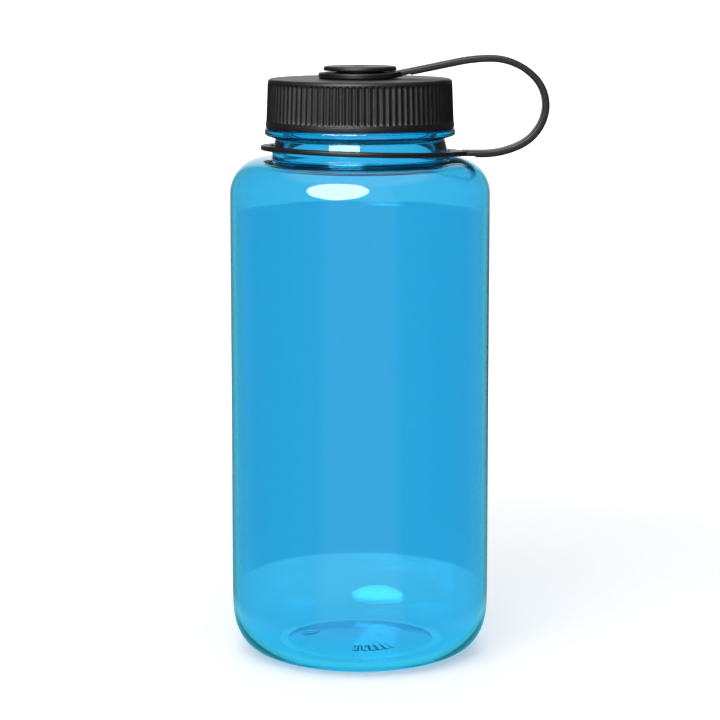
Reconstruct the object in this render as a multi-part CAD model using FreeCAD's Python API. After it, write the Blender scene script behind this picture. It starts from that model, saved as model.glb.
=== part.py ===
"""One-litre wide-mouth bottle: a clear blue body, a ribbed screw cap and a moulded tether loop.

The frame has +Z up along the bottle's axis and its origin at the centre of the face that the
bottle stands on. The tether's loop stands out along +X and -Y is the front. Sizes are in millimetres.
Every piece is shown where it lies with the cap screwed down.
"""
import FreeCAD, Part
import math
import os
from FreeCAD import Vector

# --- Bottle body ---------------------------------------------------------------------------------
BODY_RADIUS = 44.5
BODY_WALL = 2.0
FLOOR_THICKNESS = 2.6
FOOT_RADIUS = 28.7          # outer edge of the flat ring that the bottle stands on
FOOT_WIDTH = 3.2
PUSH_UP = 3.6               # height of the domed floor above the foot, at the axis
HEEL_RISE = 19.6            # height of the rounded corner between foot and barrel
HEEL_POWER = 2.6            # exponent of that corner's superellipse
SHOULDER_TOP = 172.0
SHOULDER_RADIUS = 12.0
INNER_SHOULDER_RADIUS = 10.0
PANEL_DEPTH = 0.9           # extra wall inside the back half, the smooth label panel
PANEL_LOW = 22.9
PANEL_HIGH = 153.3

# --- Neck and screw thread -----------------------------------------------------------------------
NECK_RADIUS = 30.0          # where the neck leaves the shoulder
WAIST_RADIUS = 28.9         # narrowest, under the bead, and the root of the thread
WAIST_HEIGHT = 178.6
BORE_RADIUS = 26.4
BEAD_RADIUS = 32.5
BEAD_LOW = 179.9
BEAD_HIGH = 182.1
RIM_HEIGHT = 195.5
THREAD_LEAD = 4.2
THREAD_TURNS = 1.5
THREAD_DEPTH = 1.0
NECK_THREAD_START = 186.3   # height of the neck thread's middle at its lower end
CAP_THREAD_DROP = 1.9       # how far the cap's thread runs below the neck's thread
THREAD_ROOT_WIDTH = 2.0
THREAD_CREST_WIDTH = 0.8
THREAD_OVERLAP = 0.2        # how far a thread's root sinks into its wall

# --- Cap -----------------------------------------------------------------------------------------
CAP_BOTTOM = 182.3
CAP_TOP = 198.8
CAP_WALL_INNER = 30.25
GRIP_RADIUS = 31.9          # outside of the grip just above the lip
GRIP_DRAFT = 0.6            # how much narrower the grip is at its top
CAP_UNDERSIDE = 196.8
CAP_EDGE_RADIUS = 1.2
LIP_RADIUS = 32.1
LIP_HEIGHT = 1.9
GROOVE_COUNT = 92
GROOVE_DEPTH = 0.6
GROOVE_RUN_OUT = 0.12       # how far outside the grip two neighbouring grooves would meet
GROOVE_LOW = 184.4
GROOVE_TOP = 197.5
SOCKET_RADIUS = 4.0         # blind socket that the button's stem is pressed into
SOCKET_WALL = 2.0
SOCKET_BOTTOM = 194.7
SOCKET_FLOOR = 1.4
SEAL_CLEARANCE = 0.05
SEAL_OUTER = 29.4
SEAL_INNER = 25.2

# --- Button on top of the cap --------------------------------------------------------------------
BUTTON_RADIUS = 12.4
BUTTON_LOW = 201.5
BUTTON_TOP = 203.0
POST_RADIUS = 8.1
DIMPLE_RADIUS = 2.8
DIMPLE_DEPTH = 0.5

# --- Tether --------------------------------------------------------------------------------------
TOP_RING_INNER = 8.4
TOP_RING_OUTER = 14.1
TOP_RING_LOW = 198.95
TOP_RING_HIGH = 200.85
NECK_RING_INNER = 30.6
NECK_RING_OUTER = 33.9
NECK_RING_THICKNESS = 1.7
NECK_RING_HEIGHT = 174.5
NECK_RING_TILT = 1.7        # degrees: the side away from the loop sits higher
NECK_RING_NOD = 1.5         # degrees: the front sits higher than the back
LUG_TIP = 36.4
LUG_SPREAD = 20.0           # degrees either side of +X where the lug's edges leave the ring
STUB_TIP = 14.5             # where the top ring's stub ends, just short of the strap
STRAP_WIDTH = 7.4
STRAP_THICKNESS = 2.3
STRAP_START = Vector(15.0, 0, 200.75)
STRAP_SLOPE = 11.5          # degrees that the strap rises at as it leaves the top ring
STRAP_RUN_OUT = 18.7        # straight length that follows
STRAP_BENDS = (             # radius and turn in degrees of each bend, all of them downward
    (55.2, 11.5),
    (20.7, 47.0),
    (13.6, 60.0),
    (15.6, 47.5),
    (29.5, 25.5),
)
STRAP_RUN_IN = 4.7          # straight length that ends at the neck ring's lug


def point(radius, height):
    """A point of an outline in the X-Z plane."""
    return Vector(radius, 0, height)


def around(radius, angle, height):
    """A point at an angle in radians about the bottle's axis."""
    return Vector(radius * math.cos(angle), radius * math.sin(angle), height)


def rounded_outline(corners):
    """A closed face in the X-Z plane from (x, z, radius) corners, each rounded by a tangent arc."""
    count = len(corners)
    edges = []
    starts = []
    ends = []
    middles = []
    for index in range(count):
        here = point(*corners[index][:2])
        before = (point(*corners[index - 1][:2]) - here).normalize()
        after = (point(*corners[(index + 1) % count][:2]) - here).normalize()
        radius = corners[index][2]
        half_angle = before.getAngle(after) / 2
        reach = radius / math.tan(half_angle)
        starts.append(here + before * reach)
        ends.append(here + after * reach)
        bisector = (before + after).normalize()
        middles.append(here + bisector * (radius / math.sin(half_angle) - radius))
    for index in range(count):
        if corners[index][2] > 0:
            edges.append(Part.Arc(starts[index], middles[index], ends[index]).toShape())
        following = starts[(index + 1) % count]
        if ends[index].distanceToPoint(following) > 1e-6:
            edges.append(Part.makeLine(ends[index], following))
    return Part.Face(Part.Wire(edges))


def turned(face):
    """The solid that an outline sweeps in one full turn about the bottle's axis."""
    return face.revolve(Vector(0, 0, 0), Vector(0, 0, 1), 360)


def ring(inner, outer, low, high):
    """A plain ring about the bottle's axis."""
    outside = Part.makeCylinder(outer, high - low, Vector(0, 0, low))
    inside = Part.makeCylinder(inner, high - low, Vector(0, 0, low))
    return outside.cut(inside)


def heel_curve(foot_radius, wall_radius, low, high):
    """The rounded base corner, a quarter superellipse from the foot out and up to the wall."""
    run = wall_radius - foot_radius
    rise = high - low
    steps = 10
    points = []
    for step in range(steps + 1):
        angle = math.pi / 2 * step / steps
        across = math.sin(angle) ** (2 / HEEL_POWER)
        down = math.cos(angle) ** (2 / HEEL_POWER)
        points.append(point(foot_radius + run * across, high - rise * down))
    curve = Part.BSplineCurve()
    curve.interpolate(Points=points, InitialTangent=Vector(1, 0, 0), FinalTangent=Vector(0, 0, 1))
    return curve.toShape()


def vessel(foot_radius, wall_radius, low, heel_top, dome, shoulder_top, shoulder_radius, neck_radius):
    """A turned solid from the domed floor up to the foot of the neck."""
    dome_rim = point(foot_radius - FOOT_WIDTH, low)
    dome_top = point(0, low + dome)
    dome_middle = point(dome_rim.x * 0.5, low + dome * 0.75)
    foot = point(foot_radius, low)
    barrel_low = point(wall_radius, heel_top)
    barrel_high = point(wall_radius, shoulder_top - shoulder_radius)
    slant = math.sqrt(0.5)
    shoulder_middle = point(
        wall_radius - shoulder_radius * (1 - slant), shoulder_top - shoulder_radius * (1 - slant)
    )
    shoulder_end = point(wall_radius - shoulder_radius, shoulder_top)
    neck = point(neck_radius, shoulder_top)
    axis_top = point(0, shoulder_top)
    edges = [
        Part.Arc(dome_top, dome_middle, dome_rim).toShape(),
        Part.makeLine(dome_rim, foot),
        heel_curve(foot_radius, wall_radius, low, heel_top),
        Part.makeLine(barrel_low, barrel_high),
        Part.Arc(barrel_high, shoulder_middle, shoulder_end).toShape(),
        Part.makeLine(shoulder_end, neck),
        Part.makeLine(neck, axis_top),
        Part.makeLine(axis_top, dome_top),
    ]
    return turned(Part.Face(Part.Wire(edges)))


def thread(root_radius, crest_radius, start_height):
    """A screw thread of one start, its root sunk a little into the wall that carries it."""
    outward = math.copysign(1, crest_radius - root_radius)
    sunk_radius = root_radius - outward * THREAD_OVERLAP
    root = THREAD_ROOT_WIDTH / 2
    crest = THREAD_CREST_WIDTH / 2
    corners = [
        point(sunk_radius, start_height - root),
        point(crest_radius, start_height - crest),
        point(crest_radius, start_height + crest),
        point(sunk_radius, start_height + root),
    ]
    profile = Part.makePolygon(corners + corners[:1])
    helix = Part.makeHelix(THREAD_LEAD, THREAD_LEAD * THREAD_TURNS, root_radius)
    helix.translate(Vector(0, 0, start_height))
    return Part.Wire(helix).makePipeShell([profile], True, True)


def make_bottle_body():
    """The blow-moulded body with its shoulder, bead, threaded neck and open mouth."""
    outside = vessel(
        FOOT_RADIUS, BODY_RADIUS, 0, HEEL_RISE, PUSH_UP, SHOULDER_TOP, SHOULDER_RADIUS, NECK_RADIUS
    )
    inside = vessel(
        FOOT_RADIUS, BODY_RADIUS - BODY_WALL, FLOOR_THICKNESS, HEEL_RISE, PUSH_UP,
        SHOULDER_TOP - BODY_WALL, INNER_SHOULDER_RADIUS, BORE_RADIUS
    )
    neck = turned(rounded_outline([
        (0, SHOULDER_TOP - BODY_WALL, 0),
        (NECK_RADIUS, SHOULDER_TOP - BODY_WALL, 0),
        (NECK_RADIUS, SHOULDER_TOP + BODY_WALL, 2),
        (WAIST_RADIUS, WAIST_HEIGHT, 0.6),
        (BEAD_RADIUS, BEAD_LOW, 0.8),
        (BEAD_RADIUS, BEAD_HIGH, 0.6),
        (WAIST_RADIUS, BEAD_HIGH, 0.3),
        (WAIST_RADIUS, RIM_HEIGHT, 0.5),
        (0, RIM_HEIGHT, 0),
    ]))
    bore = Part.makeCylinder(BORE_RADIUS, RIM_HEIGHT, Vector(0, 0, SHOULDER_TOP / 2))
    inner_radius = BODY_RADIUS - BODY_WALL
    panel = ring(inner_radius - PANEL_DEPTH, inner_radius + PANEL_DEPTH, PANEL_LOW, PANEL_HIGH)
    back_half = Part.makeBox(
        2 * BODY_RADIUS, BODY_RADIUS, PANEL_HIGH, Vector(-BODY_RADIUS, 0, 0)
    )
    solid = outside.fuse([neck, thread(WAIST_RADIUS, WAIST_RADIUS + THREAD_DEPTH, NECK_THREAD_START)])
    return solid.cut([inside.cut(panel.common(back_half)), bore])


def groove_wire(height):
    """The plan of the grooves at one height, one hollow arc for each, closed into a ring."""
    lip_top = CAP_BOTTOM + LIP_HEIGHT
    crest = GRIP_RADIUS - GRIP_DRAFT * (height - lip_top) / (CAP_TOP - lip_top)
    pitch = 2 * math.pi / GROOVE_COUNT
    edges = []
    for groove in range(GROOVE_COUNT):
        start = around(crest + GROOVE_RUN_OUT, (groove - 0.5) * pitch, height)
        bottom = around(crest - GROOVE_DEPTH, groove * pitch, height)
        end = around(crest + GROOVE_RUN_OUT, (groove + 0.5) * pitch, height)
        edges.append(Part.Arc(start, bottom, end).toShape())
    return Part.Wire(edges)


def groove_cutter():
    """Everything outside the grooved plan, between the lip and the tops of the grooves."""
    grip = Part.makeLoft([groove_wire(GROOVE_LOW), groove_wire(GROOVE_TOP)], True, True)
    return ring(CAP_WALL_INNER, 2 * LIP_RADIUS, GROOVE_LOW, GROOVE_TOP).cut(grip)


def make_cap_shell():
    """The screw cap: skirt, lip, grooves, inner thread, and the blind socket for the button's stem."""
    shell = turned(rounded_outline([
        (0, CAP_UNDERSIDE, 0),
        (CAP_WALL_INNER, CAP_UNDERSIDE, 1.0),
        (CAP_WALL_INNER, CAP_BOTTOM, 0),
        (LIP_RADIUS, CAP_BOTTOM, 0.4),
        (LIP_RADIUS, CAP_BOTTOM + LIP_HEIGHT, 0.3),
        (GRIP_RADIUS, CAP_BOTTOM + LIP_HEIGHT, 0),
        (GRIP_RADIUS - GRIP_DRAFT, CAP_TOP, CAP_EDGE_RADIUS),
        (0, CAP_TOP, 0),
    ]))
    socket_outside = Part.makeCylinder(
        SOCKET_RADIUS + SOCKET_WALL, CAP_TOP - SOCKET_BOTTOM + SOCKET_FLOOR,
        Vector(0, 0, SOCKET_BOTTOM - SOCKET_FLOOR)
    )
    socket = Part.makeCylinder(SOCKET_RADIUS, CAP_TOP - SOCKET_BOTTOM, Vector(0, 0, SOCKET_BOTTOM))
    inner_thread = thread(
        CAP_WALL_INNER, CAP_WALL_INNER - THREAD_DEPTH, NECK_THREAD_START - CAP_THREAD_DROP
    )
    return shell.cut(groove_cutter()).fuse([socket_outside, inner_thread]).cut(socket)


def make_cap_seal():
    """The flat seal ring between the bottle's rim and the underside of the cap."""
    return ring(SEAL_INNER, SEAL_OUTER, RIM_HEIGHT + SEAL_CLEARANCE, CAP_UNDERSIDE - SEAL_CLEARANCE)


def make_tether_button():
    """The button that keeps the tether on the cap: head, post and pressed-in stem."""
    return turned(rounded_outline([
        (0, SOCKET_BOTTOM, 0),
        (SOCKET_RADIUS, SOCKET_BOTTOM, 0),
        (SOCKET_RADIUS, CAP_TOP, 0),
        (POST_RADIUS, CAP_TOP, 0),
        (POST_RADIUS, BUTTON_LOW, 0),
        (BUTTON_RADIUS, BUTTON_LOW, 0.4),
        (BUTTON_RADIUS, BUTTON_TOP, 0.8),
        (DIMPLE_RADIUS, BUTTON_TOP, 0.2),
        (DIMPLE_RADIUS - DIMPLE_DEPTH, BUTTON_TOP - DIMPLE_DEPTH, 0),
        (0, BUTTON_TOP - DIMPLE_DEPTH, 0),
    ]))


def make_tether_top_ring():
    """The tether's small ring, captive under the button, with the stub that meets the strap."""
    outside = Part.makeCylinder(TOP_RING_OUTER, TOP_RING_HIGH - TOP_RING_LOW, Vector(0, 0, TOP_RING_LOW))
    stub_start = (TOP_RING_INNER + TOP_RING_OUTER) / 2
    stub = Part.makeBox(
        STUB_TIP - stub_start, STRAP_WIDTH, TOP_RING_HIGH - TOP_RING_LOW,
        Vector(stub_start, -STRAP_WIDTH / 2, TOP_RING_LOW)
    )
    hole = Part.makeCylinder(TOP_RING_INNER, CAP_TOP, Vector(0, 0, TOP_RING_LOW))
    return outside.fuse(stub).cut(hole)


def strap_side(offset):
    """The edges of one long side of the strap, beside its middle line by offset, and its ends."""
    heading = math.radians(STRAP_SLOPE)
    ahead = Vector(math.cos(heading), 0, math.sin(heading))
    side = Vector(-math.sin(heading), 0, math.cos(heading))
    here = STRAP_START + side * offset
    first = here
    corner = here + ahead * STRAP_RUN_OUT
    edges = [Part.makeLine(here, corner)]
    here = corner
    for radius, turn in STRAP_BENDS:
        centre = here - side * (radius + offset)
        stops = []
        for share in (0.5, 1.0):
            angle = heading - math.radians(turn) * share
            stops.append(centre + Vector(-math.sin(angle), 0, math.cos(angle)) * (radius + offset))
        edges.append(Part.Arc(here, stops[0], stops[1]).toShape())
        heading -= math.radians(turn)
        side = Vector(-math.sin(heading), 0, math.cos(heading))
        here = stops[1]
    last = here + Vector(math.cos(heading), 0, math.sin(heading)) * STRAP_RUN_IN
    edges.append(Part.makeLine(here, last))
    return edges, first, last


def make_tether_strap():
    """The strap between the two rings, a flat band bent on edge into the carry loop."""
    outer, outer_first, outer_last = strap_side(STRAP_THICKNESS / 2)
    inner, inner_first, inner_last = strap_side(-STRAP_THICKNESS / 2)
    closing = [Part.makeLine(outer_last, inner_last), Part.makeLine(inner_first, outer_first)]
    outline = Part.Face(Part.Wire(Part.__sortEdges__(outer + inner + closing)))
    strap = outline.extrude(Vector(0, STRAP_WIDTH, 0))
    strap.translate(Vector(0, -STRAP_WIDTH / 2, 0))
    return strap


def make_tether_neck_ring():
    """The tether's large ring, loose under the bead, with the lug that tapers to the strap."""
    low = -NECK_RING_THICKNESS / 2
    outside = Part.makeCylinder(NECK_RING_OUTER, NECK_RING_THICKNESS, Vector(0, 0, low))
    near = around(NECK_RING_OUTER, math.radians(LUG_SPREAD), low)
    tip = Vector(LUG_TIP, STRAP_WIDTH / 2, low)
    corners = [near, tip, Vector(tip.x, -tip.y, low), Vector(near.x, -near.y, low)]
    lug = Part.Face(Part.makePolygon(corners + corners[:1])).extrude(Vector(0, 0, NECK_RING_THICKNESS))
    hole = Part.makeCylinder(NECK_RING_INNER, NECK_RING_THICKNESS, Vector(0, 0, low))
    solid = outside.fuse(lug).cut(hole)
    solid.rotate(Vector(0, 0, 0), Vector(0, 1, 0), NECK_RING_TILT)
    solid.rotate(Vector(0, 0, 0), Vector(1, 0, 0), -NECK_RING_NOD)
    solid.translate(Vector(0, 0, NECK_RING_HEIGHT))
    return solid


def main():
    """Write one file per piece, each a single valid solid."""
    pieces = {
        "bottle_body": make_bottle_body,
        "cap_shell": make_cap_shell,
        "cap_seal": make_cap_seal,
        "tether_button": make_tether_button,
        "tether_top_ring": make_tether_top_ring,
        "tether_strap": make_tether_strap,
        "tether_neck_ring": make_tether_neck_ring,
    }
    os.makedirs("parts", exist_ok=True)
    for name, make in pieces.items():
        solid = make().removeSplitter().Solids[0]
        solid.exportStep(f"parts/{name}.step")
        box = solid.BoundBox
        print(
            f"{name}: valid {solid.isValid()}, {solid.Volume / 1000:.2f} cm3,"
            f" x {box.XMin:.2f} to {box.XMax:.2f}, z {box.ZMin:.2f} to {box.ZMax:.2f}"
        )


main()
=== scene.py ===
"""Looks for a clear blue wide-mouth bottle with a grooved screw cap and a moulded tether loop.

Every piece is a surface worked out on a grid, in metres, in the same frame as the design: +Z up
the bottle's axis, +X towards the tether's loop, -Y the front.
"""
import math

import bpy
import numpy as np
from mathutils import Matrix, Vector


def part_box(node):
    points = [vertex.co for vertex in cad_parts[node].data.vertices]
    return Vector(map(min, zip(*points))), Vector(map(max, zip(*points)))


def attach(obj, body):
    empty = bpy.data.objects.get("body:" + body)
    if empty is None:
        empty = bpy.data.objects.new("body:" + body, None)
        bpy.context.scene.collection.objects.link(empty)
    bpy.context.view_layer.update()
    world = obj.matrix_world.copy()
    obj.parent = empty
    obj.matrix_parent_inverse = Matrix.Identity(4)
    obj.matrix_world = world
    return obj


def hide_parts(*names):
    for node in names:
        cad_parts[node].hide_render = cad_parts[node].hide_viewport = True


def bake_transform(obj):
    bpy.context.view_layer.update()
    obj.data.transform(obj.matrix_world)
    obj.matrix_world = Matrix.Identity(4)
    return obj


bl_info = {
    "name": "Wide-Mouth Bottle",
    "version": (1, 0, 0),
    "blender": (4, 5, 0),
    "location": "View3D > Sidebar > Bottle",
    "description": "Builds a clear screw-cap bottle with a tethered cap around its packed design",
    "category": "Add Mesh",
}

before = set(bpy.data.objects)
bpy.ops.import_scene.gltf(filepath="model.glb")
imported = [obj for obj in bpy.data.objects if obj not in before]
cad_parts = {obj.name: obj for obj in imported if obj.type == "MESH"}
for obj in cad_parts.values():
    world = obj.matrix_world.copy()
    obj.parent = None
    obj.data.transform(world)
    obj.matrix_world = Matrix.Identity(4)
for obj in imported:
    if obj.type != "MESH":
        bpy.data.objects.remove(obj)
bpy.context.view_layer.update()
BODY_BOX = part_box("bottle_body")
CAP_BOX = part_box("cap_shell")
SEAL_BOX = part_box("cap_seal")
BUTTON_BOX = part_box("tether_button")
TOP_RING_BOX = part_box("tether_top_ring")
NECK_RING_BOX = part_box("tether_neck_ring")
STRAP_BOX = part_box("tether_strap")
FULL_TURN = 2 * math.pi
MM = 0.001
MARK_TICKS = 22
MARK_RADIUS = 17.2 * MM
MARK_HALF_LENGTH = 2.6 * MM
MARK_ARCS = ((284, 23), (172, 9))
SMALL_RING_PLACE = (1.0 * MM, 13.0 * MM)
SMALL_RING_RADIUS = 2.7 * MM
LOOK = "_look"


def length(name, description, default):
    """A length property in metres."""
    return bpy.props.FloatProperty(
        name=name, description=description, default=default, unit="LENGTH", precision=5
    )


def count(name, description, default):
    """A whole-number property."""
    return bpy.props.IntProperty(name=name, description=description, default=default, min=1)


def share(name, description, default):
    """A property without a unit."""
    return bpy.props.FloatProperty(name=name, description=description, default=default, precision=4)


def colour(name, description, default):
    """A linear colour property."""
    return bpy.props.FloatVectorProperty(
        name=name, description=description, default=default, size=3, subtype="COLOR", min=0, max=1
    )


def angle_setting(name, description, degrees):
    """An angle property, given in degrees and kept in radians."""
    return bpy.props.FloatProperty(
        name=name, description=description, default=math.radians(degrees), subtype="ANGLE"
    )


class BottleSizes(bpy.types.PropertyGroup):
    """Sizes of the blown body and of the screw thread that it shares with the cap."""

    wall: length("Wall", "Thickness of the side wall", 2.0 * MM)
    floor: length("Floor", "Thickness of the floor", 2.6 * MM)
    foot_radius: length("Foot radius", "Outer edge of the ring it stands on", 28.7 * MM)
    foot_width: length("Foot width", "Width of the ring it stands on", 3.2 * MM)
    panel_depth: length("Panel depth", "Extra wall inside the back half, the label panel", 0.4 * MM)
    panel_low: length("Panel low", "Lower edge of that panel", 22.9 * MM)
    panel_high: length("Panel high", "Upper edge of that panel", 153.3 * MM)
    panel_edge: length("Panel edge", "Width of the step round that panel", 2.2 * MM)
    sway: length("Sway", "Unevenness of the blown wall's inside", 0.05 * MM)
    mark_height: length("Mark height", "How far the ticks under the base stand out", 0.5 * MM)
    push_up: length("Push-up", "Height of the domed floor at the axis", 3.6 * MM)
    heel_rise: length("Heel rise", "Height of the rounded base corner", 19.6 * MM)
    heel_power: share("Heel power", "Exponent of the base corner's superellipse", 2.6)
    shoulder_top: length("Shoulder top", "Height where the neck leaves the shoulder", 172.0 * MM)
    shoulder_radius: length("Shoulder radius", "Rounding of the shoulder", 12.0 * MM)
    neck_radius: length("Neck radius", "Neck at the shoulder", 30.0 * MM)
    waist_radius: length("Waist radius", "Neck under the bead, and root of the thread", 28.9 * MM)
    waist_height: length("Waist height", "Height of the narrowest part of the neck", 178.6 * MM)
    bore_radius: length("Bore radius", "Inside of the neck", 26.4 * MM)
    bead_radius: length("Bead radius", "The ring under the cap", 32.5 * MM)
    bead_low: length("Bead low", "Underside of the bead", 179.9 * MM)
    bead_high: length("Bead high", "Top of the bead", 182.1 * MM)
    thread_lead: length("Thread lead", "Rise of the thread in one turn", 4.2 * MM)
    thread_turns: share("Thread turns", "Length of the thread in turns", 1.5)
    thread_depth: length("Thread depth", "Height of the thread's ridge", 1.0 * MM)
    thread_start: length("Thread start", "Height of the lower end of the neck's thread", 186.3 * MM)
    thread_drop: length("Thread drop", "How far the cap's thread runs below the neck's", 1.9 * MM)
    columns: count("Columns", "Points in one turn of the body", 256)


class CapSizes(bpy.types.PropertyGroup):
    """Sizes of the cap, its seal and the button on top."""

    inner_radius: length("Inner radius", "Inside of the skirt", 30.25 * MM)
    outer_radius: length("Outer radius", "Grip's outside just above the lip", 31.9 * MM)
    draft: length("Draft", "How much narrower the skirt is at its top", 0.6 * MM)
    underside: length("Underside", "Height of the inside of the cap's top", 196.8 * MM)
    edge_radius: length("Edge radius", "Rounding of the top edge", 1.2 * MM)
    lip_height: length("Lip height", "Height of the plain band at the bottom", 1.9 * MM)
    groove_count: count("Grooves", "Number of upright grip grooves", 92)
    groove_columns: count("Groove columns", "Points across one groove", 8)
    groove_depth: length("Groove depth", "How deep a groove is", 0.6 * MM)
    groove_share: share("Groove share", "Part of the pitch that a groove takes up", 0.88)
    groove_top: length("Groove top", "Height of the top of a groove's arch", 197.5 * MM)
    socket_radius: length("Socket radius", "Blind hole for the button's stem", 4.0 * MM)
    socket_wall: length("Socket wall", "Wall round that hole", 2.0 * MM)
    socket_floor: length("Socket floor", "Thickness under that hole", 1.4 * MM)
    seal_inner: length("Seal inner radius", "Hole of the seal ring", 25.2 * MM)
    post_radius: length("Post radius", "Neck of the button inside the ring", 8.1 * MM)
    button_low: length("Button low", "Underside of the button's head", 201.5 * MM)
    dimple_radius: length("Dimple radius", "Gate dimple in the button's middle", 2.8 * MM)
    dimple_depth: length("Dimple depth", "Depth of that dimple", 0.5 * MM)


class TetherSizes(bpy.types.PropertyGroup):
    """Sizes of the one-piece tether: two rings and the strap between them."""

    top_inner: length("Top ring inner radius", "Hole round the button's post", 8.4 * MM)
    top_outer: length("Top ring outer radius", "Rim of the small ring", 14.1 * MM)
    neck_inner: length("Neck ring inner radius", "Hole round the bottle's neck", 30.6 * MM)
    neck_outer: length("Neck ring outer radius", "Rim of the large ring", 33.9 * MM)
    ring_thickness: length("Ring thickness", "Thickness of the large ring", 1.7 * MM)
    ring_height: length("Ring height", "Height of the large ring on the axis", 174.5 * MM)
    ring_tilt: angle_setting("Ring tilt", "Slope of the large ring, higher away from the loop", 1.7)
    ring_nod: angle_setting("Ring nod", "Slope of the large ring, higher at the front", 1.5)
    top_lift: length("Top ring lift", "How far the strap pulls up the small ring's near side", 0.6 * MM)
    lug_spread: angle_setting("Lug spread", "Angle either side where the lug leaves the large ring", 20)
    strap_thickness: length("Strap thickness", "Thickness of the band", 2.3 * MM)
    strap_slope: angle_setting("Strap slope", "Slope of the strap where it leaves the top ring", 11.5)
    hinge_web: length("Hinge web", "Thickness left at the two bending notches", 1.9 * MM)
    hinge_length: length("Hinge length", "Length of each bending notch", 1.6 * MM)
    tuck: length("Tuck", "How far the strap's ends run into the rings", 2.4 * MM)


class Finishes(bpy.types.PropertyGroup):
    """Colours of the plastics."""

    blue_tint: colour("Blue tint", "Tint of the clear plastic's surface", (0.5, 0.785, 0.97))
    panel_tint: colour("Panel tint", "Further tint of the label panel", (0.42, 0.78, 0.87))
    blue_depth: colour("Blue depth", "Colour that the clear plastic lets through", (0.0, 0.87, 0.945))
    blue_density: share("Blue density", "How strongly the clear plastic absorbs, per metre", 400.0)
    cap_black: colour("Cap black", "Black of the cap and button", (0.008, 0.008, 0.0085))
    tether_black: colour("Tether black", "Black of the tether", (0.011, 0.011, 0.0115))
    seal_white: colour("Seal white", "Colour of the seal ring", (0.78, 0.78, 0.75))


class Studio(bpy.types.PropertyGroup):
    """Floor, lamps and camera."""

    distance: length("Camera distance", "From the bottle's axis to the camera", 0.8266)
    height: length("Camera height", "Height of the camera above the floor", 0.236)
    pitch: angle_setting("Pitch", "How far the camera looks down", 9.21)
    lens: share("Lens", "Focal length in millimetres", 121.07)
    floor_radius: length("Floor radius", "Radius of the round floor", 30.0)
    # Painted light: colour of a blue glow painted on the floor near the bottle, seen only in reflections,
    # standing in for the light that the clear plastic throws there.
    painted_blue_glow: colour("Caught blue", "Light that the clear plastic throws on the floor", (0.1, 0.75, 1.0))
    front: share("Front", "Strength of the light from straight in front", 0.45)
    floor_white: share("Floor white", "Reflectance of the floor", 0.92)
    lift_radius: length("Lift radius", "Where the floor's lift to pure white is complete", 0.6)
    near_lift: share("Near lift", "Light added to the floor round the bottle, to reach pure white", 0.36)
    sky: share("Sky", "Strength of the light from the sides", 0.1)
    back: share("Back", "Strength of the white wall behind", 1.0)
    overhead: share("Overhead", "Strength of the light from above", 1.1)
    key_power: share("Key power", "Power of the large front softbox in watts", 6.0)
    glint: share("Glint", "Brightness that the softbox shows in reflections", 14.0)
    key_size: length("Key size", "Side of the front softbox, and width of its round bright face", 1.0)
    key_azimuth: angle_setting(
        "Key azimuth", "Direction of the softbox, 0 in front and growing to the right", -22
    )
    key_elevation: angle_setting("Key elevation", "Height of the softbox as an angle", 37)
    key_distance: length("Key distance", "From the bottle to the softbox", 1.1)


# --- Outlines and grids --------------------------------------------------------------------------

def rounded(corners, arc_step=math.radians(9)):
    """Points of an outline through (x, z, radius) corners, each rounded by a tangent arc.

    An arc's points are its centre plus the spherical blend of the two spokes to its ends:
    (sin((1 - t) * sweep) * first + sin(t * sweep) * last) / sin(sweep).
    """
    corners = np.asarray(corners, float)
    pieces = [corners[:1, :2]]
    for before, here, after in zip(corners[:-2], corners[1:-1], corners[2:]):
        if here[2] <= 0:
            pieces.append(here[None, :2])
            continue
        back = (before - here)[:2] / np.hypot(*(before - here)[:2])
        ahead = (after - here)[:2] / np.hypot(*(after - here)[:2])
        half = np.arccos(np.clip(back @ ahead, -1, 1)) / 2
        middle = (back + ahead) / np.hypot(*(back + ahead))
        centre = here[:2] + middle * here[2] / np.sin(half)
        first = here[:2] + back * here[2] / np.tan(half) - centre
        last = here[:2] + ahead * here[2] / np.tan(half) - centre
        sweep = np.pi - 2 * half
        t = np.linspace(0, 1, max(2, math.ceil(sweep / arc_step)) + 1)[:, None]
        pieces.append(centre + (np.sin((1 - t) * sweep) * first + np.sin(t * sweep) * last) / np.sin(sweep))
    pieces.append(corners[-1:, :2])
    return np.vstack(pieces)


def spaced(outline, longest):
    """The outline with extra points, evenly set, so that no run is longer than given."""
    runs = np.hypot(*np.diff(outline, axis=0).T)
    outline = outline[np.concatenate(([True], runs > 1e-9))]
    runs = runs[runs > 1e-9]
    parts = np.maximum(1, np.ceil(runs / longest)).astype(int)
    stations = np.concatenate(([0], np.cumsum(np.repeat(1 / parts, parts))))
    places = np.arange(len(outline))
    return np.stack([np.interp(stations, places, outline[:, axis]) for axis in (0, 1)], 1)


def lathe(outline, angles, swell=0.0):
    """Grid of points (r cos a, r sin a, z): each outline point (r, z) turned through each angle a.

    Swell is added to the radius, one value for each point of the grid.
    """
    radius = outline[:, :1] + swell
    height = np.broadcast_to(outline[:, 1:], np.broadcast_shapes(radius.shape, (len(outline), len(angles))))
    radius = np.broadcast_to(radius, height.shape)
    return np.stack((radius * np.cos(angles), radius * np.sin(angles), height), 2)


def turn(columns):
    """Evenly spaced angles for one full turn."""
    return np.arange(columns) * FULL_TURN / columns


def turned(points, axis, angle):
    """Points turned by an angle about the x, y or z axis, which are numbered 0 to 2."""
    first, second = (axis + 1) % 3, (axis + 2) % 3
    matrix = np.eye(3)
    matrix[first, first] = matrix[second, second] = math.cos(angle)
    matrix[first, second], matrix[second, first] = -math.sin(angle), math.sin(angle)
    return points @ matrix.T


def new_piece(name, vertices, faces):
    """A smooth-shaded mesh object at the origin."""
    mesh = bpy.data.meshes.new(name)
    mesh.from_pydata(vertices.tolist(), [], faces)
    mesh.shade_smooth()
    mesh.update()
    piece = bpy.data.objects.new(name, mesh)
    bpy.context.scene.collection.objects.link(piece)
    return piece


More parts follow.
